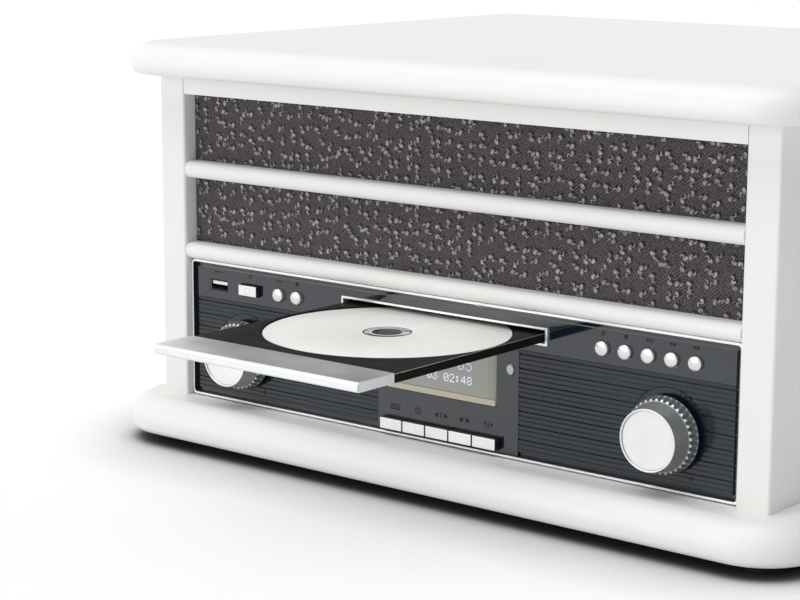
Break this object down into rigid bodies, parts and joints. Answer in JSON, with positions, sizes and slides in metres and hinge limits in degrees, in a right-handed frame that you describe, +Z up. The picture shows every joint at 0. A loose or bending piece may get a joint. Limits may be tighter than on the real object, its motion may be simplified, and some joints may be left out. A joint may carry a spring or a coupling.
{
  "type": "stereo music centre",
  "caption": "White lacquered retro music centre: record deck under a hinged lid, speakers behind cloth, disc drawer, display, two fluted knobs, buttons and keys.",
  "frame": {"origin": "on the table under the middle of the whole part, with the disc drawer open", "axes": "+Z up, the front with panel and cloth faces -Y, +X to the right of a person who looks at the front"},
  "size_m": [0.423, 0.4648, 0.2175],
  "materials": {
    "foot_rubber": "matt moulded rubber",
    "white_lacquer": "satin white lacquer on fibreboard",
    "speaker_cloth": "dark jacquard speaker cloth with light flecks",
    "bare_fibreboard": "raw fibreboard",
    "basket_steel": "zinc plated pressed steel",
    "cone_paper": "black paper cone with rubber roll",
    "deck_plastic": "fine grained black moulded plastic",
    "brass": "turned brass",
    "motor_steel": "plated steel",
    "belt_rubber": "flat ground rubber",
    "panel_plastic": "satin dark blue grey moulded plastic",
    "bright_trim": "bright chrome plating",
    "lens_plastic": "smoked clear plastic",
    "circuit_board": "green solder resist",
    "socket_steel": "plated steel shell",
    "loader_plastic": "moulded plastic",
    "drive_steel": "zinc plated steel",
    "socket_plastic": "black moulded plastic",
    "hinge_steel": "nickel plated steel",
    "platter_aluminium": "turned aluminium",
    "spindle_steel": "ground steel",
    "mat_rubber": "ribbed rubber",
    "arm_aluminium": "satin anodised aluminium",
    "tray_plastic": "gloss black moulded plastic",
    "drawer_aluminium": "brushed silver aluminium",
    "disc_plastic": "printable white disc face",
    "gear_plastic": "natural acetal",
    "silver_plastic": "silver painted plastic",
    "white_plastic": "white moulded plastic"
  },
  "bodies": {
    "cabinet": {"feet": "foot_rubber", "plinth": "white_lacquer", "side_panels": "white_lacquer", "front_frame": "white_lacquer", "cloth_rails": "white_lacquer", "wood_battens": "white_lacquer", "back_panel": "white_lacquer", "grille_cloths": "speaker_cloth", "baffle_board": "bare_fibreboard", "speaker_frames": "basket_steel", "speaker_cones": "cone_paper", "turntable_deck": "deck_plastic", "platter_bearing": "brass", "turntable_motor": "motor_steel", "drive_belt": "belt_rubber", "arm_base": "deck_plastic", "control_panel": "panel_plastic", "ribbed_inlays": "panel_plastic", "panel_trim": "bright_trim", "slot_trim": "bright_trim", "front_lenses": "lens_plastic", "front_board": "circuit_board", "usb_socket": "socket_steel", "main_board": "circuit_board", "loader_frame": "loader_plastic", "loading_motor": "motor_steel", "disc_drive": "drive_steel", "rear_sockets": "socket_plastic", "cabinet_hinge_parts": "hinge_steel"},
    "lid": {"lid": "white_lacquer", "lid_hinge_parts": "hinge_steel"},
    "lid_stay": {"lid_stay": "hinge_steel"},
    "platter": {"platter": "platter_aluminium", "platter_spindle": "spindle_steel", "platter_mat": "mat_rubber"},
    "pulley": {"motor_pulley": "brass"},
    "arm_yoke": {"arm_yoke": "arm_aluminium"},
    "tonearm": {"tonearm": "arm_aluminium", "headshell": "deck_plastic"},
    "cue_lever": {"cue_lever": "arm_aluminium"},
    "speed_lever": {"speed_lever": "arm_aluminium"},
    "drawer": {"cd_tray": "tray_plastic", "tray_front": "drawer_aluminium", "compact_disc": "disc_plastic"},
    "loading_pinion": {"loading_pinion": "gear_plastic"},
    "volume_knob": {"volume_knob": "silver_plastic"},
    "tuning_knob": {"tuning_knob": "silver_plastic"},
    "power_button": {"power_button": "white_plastic"},
    "function_button": {"function_button": "silver_plastic"},
    "record_button": {"record_button": "silver_plastic"},
    "eject_button": {"eject_button": "silver_plastic"},
    "stop_button": {"stop_button": "silver_plastic"},
    "play_button": {"play_button": "silver_plastic"},
    "back_button": {"back_button": "silver_plastic"},
    "forward_button": {"forward_button": "silver_plastic"},
    "menu_key": {"menu_key": "white_plastic"},
    "info_key": {"info_key": "white_plastic"},
    "scan_key": {"scan_key": "white_plastic"},
    "preset_key": {"preset_key": "white_plastic"},
    "tone_key": {"tone_key": "white_plastic"}
  },
  "joints": [
    {"name": "lid_hinge", "type": "hinge", "parent": "cabinet", "child": "lid", "pos_m": [0, 0.22945, 0.20065], "axis": [-1, 0, 0], "range_deg": [0, 75]},
    {"name": "lid_stay_pivot", "type": "hinge", "parent": "cabinet", "child": "lid_stay", "pos_m": [0.1729, 0.15045, 0.19005], "axis": [-1, 0, 0], "range_deg": [0, 114]},
    {"name": "platter_turn", "type": "hinge", "parent": "cabinet", "child": "platter", "pos_m": [-0.022, 0.07015, 0.181], "axis": [0, 0, -1], "continuous": true},
    {"name": "pulley_turn", "type": "hinge", "parent": "cabinet", "child": "pulley", "pos_m": [-0.08782, 0.10815, 0.181], "axis": [0, 0, -1], "continuous": true},
    {"name": "arm_swing", "type": "hinge", "parent": "cabinet", "child": "arm_yoke", "pos_m": [0.13, 0.16815, 0.181], "axis": [0, 0, -1], "range_deg": [0, 42]},
    {"name": "arm_lift", "type": "hinge", "parent": "arm_yoke", "child": "tonearm", "pos_m": [0.13, 0.16815, 0.2], "axis": [-1, 0, 0], "range_deg": [0, 1.8]},
    {"name": "cue_lift", "type": "hinge", "parent": "cabinet", "child": "cue_lever", "pos_m": [0.158, 0.10615, 0.188], "axis": [-1, 0, 0], "range_deg": [0, 35]},
    {"name": "speed_select", "type": "hinge", "parent": "cabinet", "child": "speed_lever", "pos_m": [-0.1535, -0.05585, 0.181], "axis": [0, 0, 1], "range_deg": [-30, 30]},
    {"name": "drawer_slide", "type": "slide", "parent": "cabinet", "child": "drawer", "axis": [0, 1, 0], "range_m": [0, 0.1365]},
    {"name": "pinion_turn", "type": "hinge", "parent": "cabinet", "child": "loading_pinion", "pos_m": [-0.0594, -0.06135, 0.0779], "axis": [-1, 0, 0], "range_deg": [0, 880]},
    {"name": "volume_turn", "type": "hinge", "parent": "cabinet", "child": "volume_knob", "pos_m": [-0.1325, -0.09985, 0.053], "axis": [0, -1, 0], "continuous": true},
    {"name": "tuning_turn", "type": "hinge", "parent": "cabinet", "child": "tuning_knob", "pos_m": [0.1325, -0.09985, 0.053], "axis": [0, -1, 0], "continuous": true},
    {"name": "power_button_press", "type": "slide", "parent": "cabinet", "child": "power_button", "axis": [0, 1, 0], "range_m": [0, 0.0012], "stiffness_N_per_m": 200},
    {"name": "function_button_press", "type": "slide", "parent": "cabinet", "child": "function_button", "axis": [0, 1, 0], "range_m": [0, 0.0012], "stiffness_N_per_m": 200},
    {"name": "record_button_press", "type": "slide", "parent": "cabinet", "child": "record_button", "axis": [0, 1, 0], "range_m": [0, 0.0012], "stiffness_N_per_m": 200},
    {"name": "eject_button_press", "type": "slide", "parent": "cabinet", "child": "eject_button", "axis": [0, 1, 0], "range_m": [0, 0.0012], "stiffness_N_per_m": 200},
    {"name": "stop_button_press", "type": "slide", "parent": "cabinet", "child": "stop_button", "axis": [0, 1, 0], "range_m": [0, 0.0012], "stiffness_N_per_m": 200},
    {"name": "play_button_press", "type": "slide", "parent": "cabinet", "child": "play_button", "axis": [0, 1, 0], "range_m": [0, 0.0012], "stiffness_N_per_m": 200},
    {"name": "back_button_press", "type": "slide", "parent": "cabinet", "child": "back_button", "axis": [0, 1, 0], "range_m": [0, 0.0012], "stiffness_N_per_m": 200},
    {"name": "forward_button_press", "type": "slide", "parent": "cabinet", "child": "forward_button", "axis": [0, 1, 0], "range_m": [0, 0.0012], "stiffness_N_per_m": 200},
    {"name": "menu_key_press", "type": "slide", "parent": "cabinet", "child": "menu_key", "axis": [0, 1, 0], "range_m": [0, 0.0012], "stiffness_N_per_m": 200},
    {"name": "info_key_press", "type": "slide", "parent": "cabinet", "child": "info_key", "axis": [0, 1, 0], "range_m": [0, 0.0012], "stiffness_N_per_m": 200},
    {"name": "scan_key_press", "type": "slide", "parent": "cabinet", "child": "scan_key", "axis": [0, 1, 0], "range_m": [0, 0.0012], "stiffness_N_per_m": 200},
    {"name": "preset_key_press", "type": "slide", "parent": "cabinet", "child": "preset_key", "axis": [0, 1, 0], "range_m": [0, 0.0012], "stiffness_N_per_m": 200},
    {"name": "tone_key_press", "type": "slide", "parent": "cabinet", "child": "tone_key", "axis": [0, 1, 0], "range_m": [0, 0.0012], "stiffness_N_per_m": 200}
  ],
  "couplings": [
    {"joint": "lid_stay_pivot", "follows": "lid_hinge", "ratio": 1.5125},
    {"joint": "pulley_turn", "follows": "platter_turn", "ratio": 9.1667},
    {"joint": "pinion_turn", "follows": "drawer_slide", "rad_per_m": 111.11}
  ]
}
